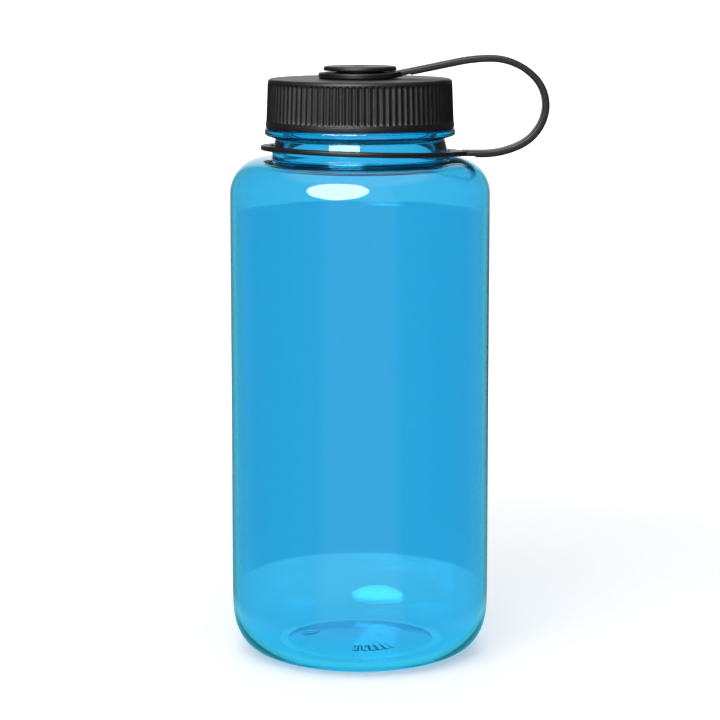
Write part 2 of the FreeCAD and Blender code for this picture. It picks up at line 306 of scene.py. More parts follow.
def capped_grid(name, grid):
    """A closed surface from a grid whose rows run right round and whose first and last row are poles."""
    rows, columns = grid.shape[:2]
    inner = grid[1:-1].reshape(-1, 3)
    vertices = np.vstack((grid[:1, 0], inner, grid[-1:, 0]))
    index = 1 + np.arange((rows - 2) * columns).reshape(rows - 2, columns)
    right = np.roll(index, -1, 1)
    quads = np.stack((index[:-1], right[:-1], right[1:], index[1:]), 2).reshape(-1, 4)
    first = np.stack((np.zeros(columns, int), right[0], index[0]), 1)
    last = np.stack((np.full(columns, len(vertices) - 1), index[-1], right[-1]), 1)
    return new_piece(name, vertices, quads.tolist() + first.tolist() + last.tolist())


def looped_grid(name, grid):
    """A closed surface from a grid that runs right round both ways, such as a ring."""
    index = np.arange(grid.shape[0] * grid.shape[1]).reshape(grid.shape[:2])
    right = np.roll(index, -1, 1)
    quads = np.stack((index, right, np.roll(right, -1, 0), np.roll(index, -1, 0)), 2).reshape(-1, 4)
    return new_piece(name, grid.reshape(-1, 3), quads.tolist())


def with_rows(outline, radius, above, heights):
    """The outline with extra points on its straight run at a radius, above a given height."""
    on_run = (np.abs(outline[:, 0] - radius) < 1e-6) & (outline[:, 1] > above - 1e-6)
    first, last = np.flatnonzero(on_run)[[0, -1]]
    run = outline[first: last + 1, 1]
    low, high = min(run[0], run[-1]), max(run[0], run[-1])
    merged = np.unique(np.concatenate((run, heights[(heights > low) & (heights < high)])))
    merged = merged if run[0] < run[-1] else merged[::-1]
    column = np.stack((np.full(len(merged), radius), merged), 1)
    return np.vstack((outline[:first], column, outline[last + 1:]))


def smooth_step(value):
    """0 below 0, 1 above 1, and 3 v^2 - 2 v^3 between."""
    value = np.clip(value, 0, 1)
    return value * value * (3 - 2 * value)


def thread_ridge(sizes, start, angles, heights):
    """Height of the screw thread's ridge over a grid of angles and heights, from 0 to 1.

    The ridge's middle climbs by one lead in each turn. Its flanks fall off in a straight line on
    both sides of a flat crest, and it fades in and out over its two ends.
    """
    crest, root, fade = 0.4 * MM, 1.0 * MM, 0.05
    ridge = np.zeros(np.broadcast_shapes(angles.shape, heights.shape))
    for lap in range(math.ceil(sizes.thread_turns)):
        along = angles / FULL_TURN + lap
        offset = np.abs(heights - start - along * sizes.thread_lead)
        ends = smooth_step(along / fade) * smooth_step((sizes.thread_turns - along) / fade)
        ridge = np.maximum(ridge, np.clip((root - offset) / (root - crest), 0, 1) * ends)
    return ridge


# --- Materials -----------------------------------------------------------------------------------

def node_group(name, inputs, outputs):
    """An empty shader group with named float or vector sockets, and its two end nodes."""
    group = bpy.data.node_groups.new(name, "ShaderNodeTree")
    for label, kind, default in inputs:
        socket = group.interface.new_socket(name=label, in_out="INPUT", socket_type=kind)
        if default is not None:
            socket.default_value = default
    for label, kind in outputs:
        group.interface.new_socket(name=label, in_out="OUTPUT", socket_type=kind)
    return group, group.nodes.new("NodeGroupInput"), group.nodes.new("NodeGroupOutput")


def math_node(tree, operation, first, second):
    """A Math node whose two inputs are sockets or plain values."""
    node = tree.nodes.new("ShaderNodeMath")
    node.operation = operation
    for slot, value in enumerate((first, second)):
        if isinstance(value, bpy.types.NodeSocket):
            tree.links.new(value, node.inputs[slot])
        else:
            node.inputs[slot].default_value = value
    return node.outputs[0]


def noise_node(tree, place, scale, detail):
    """A Noise node's value at a place."""
    noise = tree.nodes.new("ShaderNodeTexNoise")
    noise.inputs["Detail"].default_value = detail
    tree.links.new(place, noise.inputs["Vector"])
    if isinstance(scale, bpy.types.NodeSocket):
        tree.links.new(scale, noise.inputs["Scale"])
    else:
        noise.inputs["Scale"].default_value = scale
    return noise.outputs["Fac"]


def moulded_surface_group():
    """Fine moulding grain: a height for bump and a roughness that wanders round its middle value."""
    group, start, end = node_group(
        "moulded_surface",
        (
            ("Place", "NodeSocketVector", None),
            ("Grain Scale", "NodeSocketFloat", 5000.0),
            ("Roughness", "NodeSocketFloat", 0.45),
            ("Roughness Spread", "NodeSocketFloat", 0.1),
        ),
        (("Grain", "NodeSocketFloat"), ("Roughness", "NodeSocketFloat"), ("Mottle", "NodeSocketFloat")),
    )
    grain = noise_node(group, start.outputs["Place"], start.outputs["Grain Scale"], 3.0)
    mottle = noise_node(group, start.outputs["Place"], 160.0, 4.0)
    wander = math_node(group, "SUBTRACT", mottle, 0.5)
    spread = math_node(group, "MULTIPLY", wander, start.outputs["Roughness Spread"])
    group.links.new(grain, end.inputs["Grain"])
    group.links.new(math_node(group, "ADD", start.outputs["Roughness"], spread), end.inputs["Roughness"])
    group.links.new(mottle, end.inputs["Mottle"])
    return group


def handling_marks_group():
    """Fine straight scratches: thin lines where a stretched noise crosses its middle value."""
    group, start, end = node_group(
        "handling_marks",
        (("Place", "NodeSocketVector", None), ("Stretch", "NodeSocketVector", (1.0, 1.0, 1.0))),
        (("Marks", "NodeSocketFloat"),),
    )
    stretched = group.nodes.new("ShaderNodeVectorMath")
    stretched.operation = "MULTIPLY"
    group.links.new(start.outputs["Place"], stretched.inputs[0])
    group.links.new(start.outputs["Stretch"], stretched.inputs[1])
    lines = noise_node(group, stretched.outputs[0], 1.0, 2.0)
    near = math_node(group, "ABSOLUTE", math_node(group, "SUBTRACT", lines, 0.5), 0.0)
    thin = math_node(group, "SUBTRACT", 1.0, math_node(group, "MULTIPLY", near, 90.0))
    patches = noise_node(group, start.outputs["Place"], 60.0, 2.0)
    kept = math_node(group, "GREATER_THAN", patches, 0.58)
    marks = math_node(group, "MULTIPLY", math_node(group, "MAXIMUM", thin, 0.0), kept)
    group.links.new(marks, end.inputs["Marks"])
    return group


def place_group(tree, group, **inputs):
    """A group node in a material, with values or sockets for its inputs."""
    node = tree.nodes.new("ShaderNodeGroup")
    node.node_tree = bpy.data.node_groups[group]
    for label, value in inputs.items():
        socket = node.inputs[label.replace("_", " ")]
        if isinstance(value, bpy.types.NodeSocket):
            tree.links.new(value, socket)
        else:
            socket.default_value = value
    return node


def new_material(name):
    """A material with its Principled shader, its tree and the object's own coordinates.

    The design's own materials already have the plain names.
    """
    material = bpy.data.materials.new(name + LOOK)
    material.use_nodes = True
    tree = material.node_tree
    shader = tree.nodes["Principled BSDF"]
    place = tree.nodes.new("ShaderNodeTexCoord").outputs["Object"]
    return material, tree, shader, place


def add_bump(tree, shader, height, strength, distance):
    """A Bump node from a height to the shader's normal."""
    bump = tree.nodes.new("ShaderNodeBump")
    bump.inputs["Strength"].default_value = strength
    bump.inputs["Distance"].default_value = distance
    tree.links.new(height, bump.inputs["Height"])
    tree.links.new(bump.outputs["Normal"], shader.inputs["Normal"])


def mix_colours(tree, factor, first, second):
    """A colour between two plain colours."""
    mix = tree.nodes.new("ShaderNodeMix")
    mix.data_type = "RGBA"
    tree.links.new(factor, mix.inputs["Factor"])
    mix.inputs["A"].default_value = (*first, 1)
    mix.inputs["B"].default_value = (*second, 1)
    return mix.outputs["Result"]


def label_panel_group():
    """1 on the label panel: the back half between two heights, with a short fade at its edges."""
    group, start, end = node_group(
        "label_panel",
        (
            ("Place", "NodeSocketVector", None),
            ("Low", "NodeSocketFloat", 0.0),
            ("High", "NodeSocketFloat", 1.0),
            ("Fade", "NodeSocketFloat", 0.001),
            ("Side Fade", "NodeSocketFloat", 0.02),
        ),
        (("Mask", "NodeSocketFloat"),),
    )
    axes = group.nodes.new("ShaderNodeSeparateXYZ")
    group.links.new(start.outputs["Place"], axes.inputs[0])
    above = math_node(group, "SUBTRACT", axes.outputs["Z"], start.outputs["Low"])
    below = math_node(group, "SUBTRACT", start.outputs["High"], axes.outputs["Z"])
    mask = math_node(group, "DIVIDE", math_node(group, "MINIMUM", above, below), start.outputs["Fade"])
    mask.node.use_clamp = True
    back = math_node(group, "DIVIDE", axes.outputs["Y"], start.outputs["Side Fade"])
    back.node.use_clamp = True
    group.links.new(math_node(group, "MULTIPLY", mask, back), end.inputs["Mask"])
    return group


def clear_blue_material(finishes, sizes):
    """Clear blue plastic: tinted at the surface, and deeper blue the further light runs inside it."""
    material, tree, shader, place = new_material("clear_blue")
    panel = place_group(
        tree, "label_panel", Place=place,
        Low=sizes.panel_low, High=sizes.panel_high, Fade=sizes.panel_edge / 3
    )
    deeper = tuple(tint * extra for tint, extra in zip(finishes.blue_tint, finishes.panel_tint))
    tint = mix_colours(tree, panel.outputs["Mask"], tuple(finishes.blue_tint), deeper)
    tree.links.new(tint, shader.inputs["Base Color"])
    shader.inputs["Transmission Weight"].default_value = 1.0
    shader.inputs["IOR"].default_value = 1.54
    marks = place_group(tree, "handling_marks", Place=place, Stretch=(900.0, 900.0, 60.0))
    roughness = math_node(tree, "MULTIPLY", marks.outputs["Marks"], 0.05)
    tree.links.new(roughness, shader.inputs["Roughness"])
    volume = tree.nodes.new("ShaderNodeVolumeAbsorption")
    volume.inputs["Color"].default_value = (*finishes.blue_depth, 1)
    volume.inputs["Density"].default_value = finishes.blue_density
    tree.links.new(volume.outputs["Volume"], tree.nodes["Material Output"].inputs["Volume"])
    return material


def black_plastic_material(name, black, roughness, grain_scale, grain_depth):
    """Black moulded plastic: fine grain, wandering gloss and faint paler rubbing."""
    material, tree, shader, place = new_material(name)
    surface = place_group(
        tree, "moulded_surface", Place=place, Grain_Scale=grain_scale,
        Roughness=roughness, Roughness_Spread=0.16
    )
    marks = place_group(tree, "handling_marks", Place=place, Stretch=(300.0, 300.0, 1400.0))
    rubbed = math_node(tree, "MULTIPLY", marks.outputs["Marks"], 0.35)
    wear = math_node(tree, "ADD", math_node(tree, "MULTIPLY", surface.outputs["Mottle"], 0.3), rubbed)
    paler = tuple(min(1.0, channel * 1.7 + 0.004) for channel in black)
    tree.links.new(mix_colours(tree, wear, black, paler), shader.inputs["Base Color"])
    tree.links.new(surface.outputs["Roughness"], shader.inputs["Roughness"])
    shader.inputs["IOR"].default_value = 1.36
    add_bump(tree, shader, surface.outputs["Grain"], 0.35, grain_depth)
    return material


def seal_white_material(finishes):
    """Milky silicone with a dull, slightly uneven face."""
    material, tree, shader, place = new_material("seal_white")
    surface = place_group(
        tree, "moulded_surface", Place=place, Grain_Scale=2500.0, Roughness=0.5, Roughness_Spread=0.2
    )
    dusty = tuple(channel * 0.88 for channel in finishes.seal_white)
    tint = mix_colours(tree, surface.outputs["Mottle"], tuple(finishes.seal_white), dusty)
    tree.links.new(tint, shader.inputs["Base Color"])
    tree.links.new(surface.outputs["Roughness"], shader.inputs["Roughness"])
    add_bump(tree, shader, surface.outputs["Grain"], 0.3, 0.02 * MM)
    return material


def finish_piece(piece, finish, node):
    """Give a piece the material made for a record slot, and hide the CAD node that it stands for."""
    piece.data.materials.append(bpy.data.materials[finish + LOOK])
    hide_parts(node)


# --- Shapes of the pieces ------------------------------------------------------------------------

def heel(foot_radius, wall_radius, low, high, power):
    """Base corner as a quarter superellipse: |across|^p + |down|^p = 1, from the foot to the wall."""
    angle = np.linspace(0, math.pi / 2, 26)
    across = np.sin(angle) ** (2 / power)
    down = np.cos(angle) ** (2 / power)
    return np.stack((foot_radius + (wall_radius - foot_radius) * across, high - (high - low) * down), 1)


def dome(rim_radius, low, rise, rows):
    """Domed floor from the axis to its rim: height = low + rise * (1 - (r / rim)^2)."""
    radius = np.linspace(0, rim_radius, rows)
    return np.stack((radius, low + rise * (1 - (radius / rim_radius) ** 2)), 1)


def body_outline(sizes):
    """The body's outline from the outer floor up the outside, over the rim and down the inside."""
    radius = BODY_BOX[1][0]
    rim = BODY_BOX[1][2]
    inner = radius - sizes.wall
    dome_rim = sizes.foot_radius - sizes.foot_width
    inner_shoulder = sizes.shoulder_top - sizes.wall
    outside = rounded([
        (radius, sizes.heel_rise, 0),
        (radius, sizes.shoulder_top, sizes.shoulder_radius),
        (sizes.neck_radius, sizes.shoulder_top, 0.6 * MM),
        (sizes.neck_radius, sizes.shoulder_top + 2.0 * MM, 2.0 * MM),
        (sizes.waist_radius, sizes.waist_height, 0.6 * MM),
        (sizes.bead_radius, sizes.bead_low, 0.8 * MM),
        (sizes.bead_radius, sizes.bead_high, 0.6 * MM),
        (sizes.waist_radius, sizes.bead_high, 0.3 * MM),
        (sizes.waist_radius, rim, 0.5 * MM),
        (sizes.bore_radius, rim, 0.5 * MM),
        (sizes.bore_radius, inner_shoulder, 1.6 * MM),
        (inner, inner_shoulder, sizes.shoulder_radius - sizes.wall),
        (inner, sizes.heel_rise, 0),
    ])
    return np.vstack((
        dome(dome_rim, 0, sizes.push_up, 72),
        heel(sizes.foot_radius, radius, 0, sizes.heel_rise, sizes.heel_power),
        outside,
        heel(sizes.foot_radius, inner, sizes.floor, sizes.heel_rise, sizes.heel_power)[::-1],
        dome(dome_rim, sizes.floor, sizes.push_up, 14)[::-1],
    ))


def base_marks(angles, radius):
    """Raised mould marks under the base, from 0 to 1: two arcs of ticks and a small ring.

    A tick comb is |sin(n a)| over a band of radius and a span of angle, given by its middle and half
    its width in degrees. The small ring is where the distance to its own centre is near its radius.
    """
    band = smooth_step((MARK_HALF_LENGTH - np.abs(radius - MARK_RADIUS)) / (0.5 * MM))
    comb = smooth_step((np.abs(np.sin(angles * MARK_TICKS)) - 0.5) / 0.25)
    arcs = [
        smooth_step((math.radians(half) - np.abs(angles - math.radians(middle))) / 0.05)
        for middle, half in MARK_ARCS
    ]
    off_x = radius * np.cos(angles) - SMALL_RING_PLACE[0]
    off_y = radius * np.sin(angles) - SMALL_RING_PLACE[1]
    circle = np.abs(np.hypot(off_x, off_y) - SMALL_RING_RADIUS)
    small_ring = smooth_step((0.7 * MM - circle) / (0.4 * MM))
    return np.maximum(band * comb * np.maximum(*arcs), small_ring)


def body_grid(sizes):
    """The body's outline turned round the axis, with thread, label panel and base marks.

    The inside also sways by a few hundredths of a millimetre, as the sum of two sines of the angle
    that drift with height, as a blown wall does.
    """
    outline = spaced(body_outline(sizes), 5.0 * MM)
    inner = BODY_BOX[1][0] - sizes.wall
    thread_low = sizes.thread_start - 2.0 * MM
    thread_high = sizes.thread_start + sizes.thread_turns * sizes.thread_lead + 2.0 * MM
    threaded = np.arange(thread_low, thread_high, 0.25 * MM)
    edge = np.linspace(-0.3, 1.3, 9) * sizes.panel_edge
    panelled = np.concatenate((sizes.panel_low + edge, sizes.panel_high - edge))
    outline = with_rows(outline, sizes.waist_radius, sizes.bead_high, threaded)
    outline = with_rows(outline, inner, sizes.heel_rise, panelled)
    angles = turn(sizes.columns)
    radius, height = outline[:, :1], outline[:, 1:]
    on_thread = np.abs(radius - sizes.waist_radius) < 1e-6
    ridge = thread_ridge(sizes, sizes.thread_start, angles[None], height) * on_thread
    after_rim = (np.arange(len(outline)) > np.argmax(height))[:, None]
    on_inside = after_rim & (np.abs(radius - inner) < 1e-6)
    back = smooth_step(np.sin(angles) / 0.5)
    panel = smooth_step((height - sizes.panel_low) / sizes.panel_edge) * smooth_step(
        (sizes.panel_high - height) / sizes.panel_edge) * on_inside * back
    drift = height / (60 * MM)
    wave = 0.6 * np.sin(3 * angles + 0.8 + drift) + 0.4 * np.sin(7 * angles - 1.1 * drift)
    sway = wave * after_rim * smooth_step((radius - 0.8 * inner) / (0.2 * inner)) * smooth_step(
        (sizes.shoulder_top - 8 * MM - height) / (20 * MM))
    swell = ridge * sizes.thread_depth - panel * sizes.panel_depth + sway * sizes.sway
    grid = lathe(outline, angles, swell)
    before_wall = (np.arange(len(outline)) < np.argmax(radius))[:, None]
    underneath = before_wall & (radius < sizes.foot_radius - sizes.foot_width)
    grid[:, :, 2] -= base_marks(angles[None], radius) * underneath * sizes.mark_height
    return grid


class BOTTLE_OT_materials(bpy.types.Operator):
    """Build the shared node groups and the bottle's materials"""

    bl_idname = "bottle.materials"
    bl_label = "Materials"

    def execute(self, context):
        finishes = context.scene.bottle_finishes
        moulded_surface_group()
        handling_marks_group()
        label_panel_group()
        clear_blue_material(finishes, context.scene.bottle_sizes)
        black_plastic_material(
            "cap_black", tuple(finishes.cap_black),
            roughness=0.42, grain_scale=5200.0, grain_depth=0.03 * MM
        )
        black_plastic_material(
            "tether_black", tuple(finishes.tether_black),
            roughness=0.36, grain_scale=3600.0, grain_depth=0.02 * MM
        )
        seal_white_material(finishes)
        return {"FINISHED"}


class BOTTLE_OT_body(bpy.types.Operator):
    """Build the clear blown body with its threaded neck"""

    bl_idname = "bottle.body"
    bl_label = "Body"

    def execute(self, context):
        piece = capped_grid("clear_body", body_grid(context.scene.bottle_sizes))
        finish_piece(piece, "clear_blue", "bottle_body")
        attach(piece, "bottle")
        return {"FINISHED"}


def cap_grid(sizes, thread):
    """The cap's outline turned round the axis, with grooves in its grip and a thread inside.

    A groove's section is 1 - (2 u / share)^2 across the pitch u from -1/2 to 1/2, so a narrow ridge
    stays between two grooves. Each groove ends at the top in an arch and runs out at the lip.
    """
    bottom, top = CAP_BOX[0][2], CAP_BOX[1][2]
    lip_radius = CAP_BOX[1][0]
    lip_top = bottom + sizes.lip_height
    boss_bottom = BUTTON_BOX[0][2] - sizes.socket_floor
    boss_radius = sizes.socket_radius + sizes.socket_wall
    thread_start = thread.thread_start - thread.thread_drop
    narrowing = sizes.draft / (top - lip_top)
    below = rounded([
        (0, boss_bottom, 0),
        (boss_radius, boss_bottom, 0.4 * MM),
        (boss_radius, sizes.underside, 0.6 * MM),
        (sizes.inner_radius, sizes.underside, 1.0 * MM),
        (sizes.inner_radius, bottom, 0.3 * MM),
        (lip_radius, bottom, 0.4 * MM),
        (lip_radius, lip_top, 0.3 * MM),
        (sizes.outer_radius, lip_top, 0.15 * MM),
        (sizes.outer_radius, lip_top + 0.2 * MM, 0),
    ], math.radians(15))
    above = rounded([
        (sizes.outer_radius - narrowing * (sizes.groove_top - lip_top), sizes.groove_top, 0),
        (sizes.outer_radius - sizes.draft, top, sizes.edge_radius),
        (sizes.socket_radius, top, 0.15 * MM),
        (sizes.socket_radius, BUTTON_BOX[0][2], 0),
        (0, BUTTON_BOX[0][2], 0),
    ], math.radians(10))
    below = spaced(below, 4.0 * MM)
    thread_rows = np.arange(bottom + 0.5 * MM, sizes.underside - 1.1 * MM, 0.6 * MM)
    below = with_rows(below, sizes.inner_radius, bottom, thread_rows)
    heights = np.concatenate((
        lip_top + np.array((0.35, 0.5, 0.7, 0.9)) * MM,
        np.linspace(lip_top + 2 * MM, sizes.groove_top - 2.2 * MM, 4),
        sizes.groove_top - np.array((1.7, 1.35, 1.1, 0.9, 0.72, 0.56, 0.42, 0.3, 0.18, 0.08)) * MM,
    ))
    grip = np.stack((sizes.outer_radius - narrowing * (heights - lip_top), heights), 1)
    outline = np.vstack((below, grip, spaced(above, 4.0 * MM)))
    angles = turn(sizes.groove_count * sizes.groove_columns)
    across = (angles * sizes.groove_count / FULL_TURN + 0.5) % 1 - 0.5
    section = np.clip(1 - (2 * across / sizes.groove_share) ** 2, 0, 1)
    arch = sizes.groove_top - 1.0 * MM * (1 - np.sqrt(section))
    row = np.arange(len(outline))[:, None]
    height = outline[:, 1:]
    on_grip = (row >= len(below)) & (row < len(below) + len(grip))
    run_out = smooth_step((height - lip_top - 0.2 * MM) / (0.6 * MM))
    fade = smooth_step((arch - height) / (0.5 * MM)) * run_out
    ridge = thread_ridge(thread, thread_start, angles[None], height)
    threaded = ridge * (np.abs(outline[:, :1] - sizes.inner_radius) < 1e-6)
    grooved = on_grip * fade * section
    return lathe(outline, angles, -grooved * sizes.groove_depth - threaded * thread.thread_depth)


class BOTTLE_OT_cap(bpy.types.Operator):
    """Build the grooved screw cap"""

    bl_idname = "bottle.cap"
    bl_label = "Cap"

    def execute(self, context):
        grid = cap_grid(context.scene.bottle_cap, context.scene.bottle_sizes)
        piece = capped_grid("ribbed_cap", grid)
        finish_piece(piece, "cap_black", "cap_shell")
        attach(piece, "cap")
        return {"FINISHED"}


class BOTTLE_OT_seal(bpy.types.Operator):
    """Build the flat seal ring under the cap"""

    bl_idname = "bottle.seal"
    bl_label = "Seal"

    def execute(self, context):
        inner, outer = context.scene.bottle_cap.seal_inner, SEAL_BOX[1][0]
        low, high = SEAL_BOX[0][2], SEAL_BOX[1][2]
        middle = (inner + outer) / 2
        edge = 0.3 * MM
        outline = rounded([
            (middle, low, 0), (outer, low, edge), (outer, high, edge),
            (inner, high, edge), (inner, low, edge), (middle, low, 0),
        ])
        piece = looped_grid("seal_ring", lathe(spaced(outline, 1.0 * MM)[:-1], turn(160)))
        finish_piece(piece, "seal_white", "cap_seal")
        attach(piece, "seal")
        return {"FINISHED"}


class BOTTLE_OT_button(bpy.types.Operator):
    """Build the button that keeps the tether on the cap"""

    bl_idname = "bottle.button"
    bl_label = "Button"

    def execute(self, context):
        sizes = context.scene.bottle_cap
        low, high = BUTTON_BOX[0][2], BUTTON_BOX[1][2]
        head = BUTTON_BOX[1][0]
        cap_top = CAP_BOX[1][2]
        outline = rounded([
            (0, low, 0),
            (sizes.socket_radius, low, 0),
            (sizes.socket_radius, cap_top, 0),
            (sizes.post_radius, cap_top, 0),
            (sizes.post_radius, sizes.button_low, 0.2 * MM),
            (head, sizes.button_low, 0.4 * MM),
            (head, high, 0.8 * MM),
            (sizes.dimple_radius, high, 0.35 * MM),
            (sizes.dimple_radius - sizes.dimple_depth, high - sizes.dimple_depth, 0.35 * MM),
            (0, high - sizes.dimple_depth, 0),
        ])
        piece = capped_grid("tether_knob", lathe(spaced(outline, 1.2 * MM), turn(160)))
        finish_piece(piece, "cap_black", "tether_button")
        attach(piece, "cap")
        return {"FINISHED"}


def ring_with_lug(inner, outer, low, high, edge, reach, columns):
    """Ring of rounded square section whose outer side follows reach(angle), the lug's outline in plan.

    The section's outer half is shifted out by reach - outer, and its inner half stays.
    """
    middle = (inner + outer) / 2
    outline = rounded([
        (middle, low, 0), (outer, low, edge), (outer, high, edge),
        (inner, high, edge), (inner, low, edge), (middle, low, 0),
    ])[:-1]
    angles = turn(columns)
    on_outer = (outline[:, :1] > middle).astype(float)
    return lathe(outline, angles, on_outer * (reach(angles) - outer)[None])


class BOTTLE_OT_rings(bpy.types.Operator):
    """Build the tether's two rings with their lugs"""

    bl_idname = "bottle.rings"
    bl_label = "Tether Rings"

    def execute(self, context):
        sizes = context.scene.bottle_tether
        half_width = STRAP_BOX[1][1]
        top_tip = TOP_RING_BOX[1][0]
        spread = sizes.lug_spread

        def top_reach(angles):
            """Larger of the round rim and a straight-sided stub: min(tip / cos a, half width / sin a)."""
            away = np.abs((angles + math.pi) % FULL_TURN - math.pi)
            square_end = top_tip / np.cos(np.minimum(away, 1.5))
            stub = np.minimum(square_end, half_width / np.maximum(np.sin(away), 1e-6))
            return np.where(away < 1.0, np.maximum(sizes.top_outer, stub), sizes.top_outer)

        grid = ring_with_lug(
            sizes.top_inner, sizes.top_outer, TOP_RING_BOX[0][2], TOP_RING_BOX[1][2],
            0.5 * MM, top_reach, 240
        )
        pulled = np.clip((grid[:, :, 0] - 0.35 * sizes.top_outer) / (0.65 * sizes.top_outer), 0, None)
        grid[:, :, 2] += sizes.top_lift * pulled ** 2
        piece = looped_grid("top_ring", grid)
        finish_piece(piece, "tether_black", "tether_top_ring")
        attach(piece, "tether_top")

        near = np.array((math.cos(spread), math.sin(spread))) * sizes.neck_outer
        tip = np.array((NECK_RING_BOX[1][0], half_width))
        along = tip - near
        normal = np.array((-along[1], along[0])) / np.hypot(*along)
        normal *= math.copysign(1, normal @ near)
        edge_distance, edge_angle = normal @ near, math.atan2(normal[1], normal[0])

        def neck_reach(angles):
            """Round rim, then the lug's slanting side d / cos(a - a0), then its square tip x / cos a."""
            away = np.abs((angles + math.pi) % FULL_TURN - math.pi)
            side = edge_distance / np.cos(np.minimum(away, spread) - edge_angle)
            lug = np.minimum(side, tip[0] / np.cos(np.minimum(away, spread)))
            return np.where(away < spread, np.maximum(lug, sizes.neck_outer), sizes.neck_outer)

        half = sizes.ring_thickness / 2
        grid = ring_with_lug(sizes.neck_inner, sizes.neck_outer, -half, half, 0.6 * MM, neck_reach, 480)
        grid = turned(turned(grid, 1, sizes.ring_tilt), 0, -sizes.ring_nod)
        piece = looped_grid("neck_ring", grid + (0, 0, sizes.ring_height))
        finish_piece(piece, "tether_black", "tether_neck_ring")
        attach(piece, "tether")
        return {"FINISHED"}


STRAP_START = (15.0 * MM, 200.75 * MM)
STRAP_RUN_OUT = 18.7 * MM
STRAP_BENDS = (
    (55.2 * MM, math.radians(11.5)),
    (20.7 * MM, math.radians(47.0)),
    (13.6 * MM, math.radians(60.0)),
    (15.6 * MM, math.radians(47.5)),
    (29.5 * MM, math.radians(25.5)),
)
STRAP_RUN_IN = 4.7 * MM


def strap_route(slope, tuck, spacing):
    """Heading at every step along the strap, and the middle line as the running sum of those steps.

    On a bend the heading falls by spacing / radius at each step, so the line is made of arcs.
    """
    arcs = [radius * angle for radius, angle in STRAP_BENDS]
    lengths = [tuck + STRAP_RUN_OUT] + arcs + [STRAP_RUN_IN + tuck]
    bends = [0.0] + [1 / radius for radius, _ in STRAP_BENDS] + [0.0]
    stations = np.arange(0, sum(lengths), spacing)
    ends = np.concatenate(([0], np.cumsum(lengths)))
    headings_at_ends = slope - np.concatenate(([0], np.cumsum(np.array(lengths) * bends)))
    heading = np.interp(stations, ends, headings_at_ends)
    middle = (heading[1:] + heading[:-1]) / 2
    step = np.stack((np.cos(middle), np.sin(middle)), 1) * spacing
    start = np.array(STRAP_START) - tuck * np.array((math.cos(slope), math.sin(slope)))
    return start + np.vstack(((0, 0), np.cumsum(step, 0))), heading, stations


class BOTTLE_OT_strap(bpy.types.Operator):
    """Build the strap that joins the two rings and forms the carry loop"""

    bl_idname = "bottle.strap"
    bl_label = "Tether Strap"

    def execute(self, context):
        sizes = context.scene.bottle_tether
        half_width = STRAP_BOX[1][1]
        half = sizes.strap_thickness / 2
        line, heading, stations = strap_route(sizes.strap_slope, sizes.tuck, 0.35 * MM)
        section = rounded([
            (0, -half, 0), (half_width, -half, 0.6 * MM), (half_width, half, 0.6 * MM),
            (-half_width, half, 0.6 * MM), (-half_width, -half, 0.6 * MM), (0, -half, 0),
        ], math.radians(15))[:-1]
        whole = stations[-1]
        notch = sizes.strap_thickness - sizes.hinge_web
        reach = sizes.hinge_length + sizes.tuck
        inside_cut = notch * (1 - smooth_step((stations - reach) / (0.8 * MM)))
        outside_cut = notch * (1 - smooth_step((whole - stations - reach) / (0.8 * MM)))
        offset = section[None, :, 1]
        offset = np.where(offset < 0, np.minimum(offset + inside_cut[:, None], half), offset)
        offset = np.where(section[None, :, 1] > 0, section[None, :, 1] - outside_cut[:, None], offset)
        side = np.stack((-np.sin(heading), np.cos(heading)), 1)
        place = line[:, None] + side[:, None] * offset[:, :, None]
        across = np.broadcast_to(section[None, :, 0], place.shape[:2])
        grid = np.stack((place[:, :, 0], across, place[:, :, 1]), 2)
        ends = [np.broadcast_to(row.mean(0), row.shape)[None] for row in (grid[0], grid[-1])]
        piece = capped_grid("carry_strap", np.vstack((ends[0], grid, ends[1])))
        finish_piece(piece, "tether_black", "tether_strap")
        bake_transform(piece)
        return {"FINISHED"}


# --- Floor, lamps and camera ---------------------------------------------------------------------

def ramp(tree, value, low, high):
    """0 at low and below, 1 at high and above, with a smooth rise between."""
    node = tree.nodes.new("ShaderNodeMapRange")
    node.interpolation_type = "SMOOTHSTEP"
    tree.links.new(value, node.inputs["Value"])
    node.inputs["From Min"].default_value = low
    node.inputs["From Max"].default_value = high
    return node.outputs["Result"]


def blend_values(tree, factor, first, second):
    """A value that runs from the first to the second as the factor runs from 0 to 1."""
    node = tree.nodes.new("ShaderNodeMix")
    tree.links.new(factor, node.inputs["Factor"])
    for label, value in (("A", first), ("B", second)):
        if isinstance(value, bpy.types.NodeSocket):
            tree.links.new(value, node.inputs[label])
        else:
            node.inputs[label].default_value = value
    return node.outputs["Result"]


def wall_light(tree, place, studio):
    """The room's light at a place or direction: bright straight behind, softer in front, dim beside.

    It depends on y / sqrt(x^2 + y^2), the cosine of the angle round the bottle from straight behind.
    """
    front_edge, side_edge = -0.9, -0.8
    wall_edge, wall_whole = 0.93, 0.99
    axes = tree.nodes.new("ShaderNodeSeparateXYZ")
    tree.links.new(place, axes.inputs[0])
    squares = [math_node(tree, "MULTIPLY", axes.outputs[axis], axes.outputs[axis]) for axis in ("X", "Y")]
    reach = math_node(tree, "SQRT", math_node(tree, "ADD", *squares), 0.0)
    behind = math_node(tree, "DIVIDE", axes.outputs["Y"], math_node(tree, "MAXIMUM", reach, 0.001))
    ahead = blend_values(tree, ramp(tree, behind, front_edge, side_edge), studio.front, studio.sky)
    return blend_values(tree, ramp(tree, behind, wall_edge, wall_whole), ahead, studio.back)


